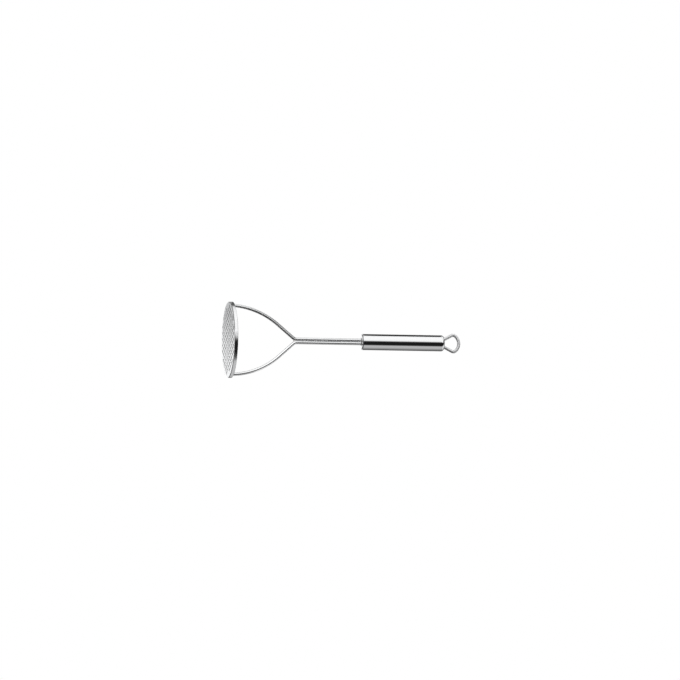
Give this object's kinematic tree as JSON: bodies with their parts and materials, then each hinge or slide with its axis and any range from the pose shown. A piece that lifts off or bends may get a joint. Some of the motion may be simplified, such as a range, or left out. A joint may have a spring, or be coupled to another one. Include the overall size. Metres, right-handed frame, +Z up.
{
  "type": "potato masher",
  "caption": "All-steel potato masher: round perforated plate with a short rim, bell-shaped two-wire fork, hollow round handle and a fan-shaped hanging loop.",
  "frame": {"origin": "centre of the flat mashing face, which is the lowest plane of the part", "axes": "+Z up the handle away from the plate, +X across the fork in the plane of the two wires and the hanging loop, +Y square to that plane"},
  "size_m": [0.0935, 0.0934, 0.29],
  "materials": {
    "plate_steel": "satin, perforated",
    "wire_steel": "polished",
    "handle_steel": "mirror polished",
    "weld_steel": "polished weld"
  },
  "bodies": {
    "root": {"mashing_plate": "plate_steel", "plate_rim": "plate_steel", "fork_wire_left": "wire_steel", "fork_wire_right": "wire_steel", "hanging_loop": "wire_steel", "foot_weld_left": "weld_steel", "foot_weld_right": "weld_steel", "crotch_weld": "weld_steel", "stem_weld": "weld_steel", "handle_front_cap": "handle_steel", "handle_tube": "handle_steel", "rear_cap": "handle_steel", "stem_anchor": "handle_steel", "loop_anchor": "handle_steel"}
  },
  "joints": []
}
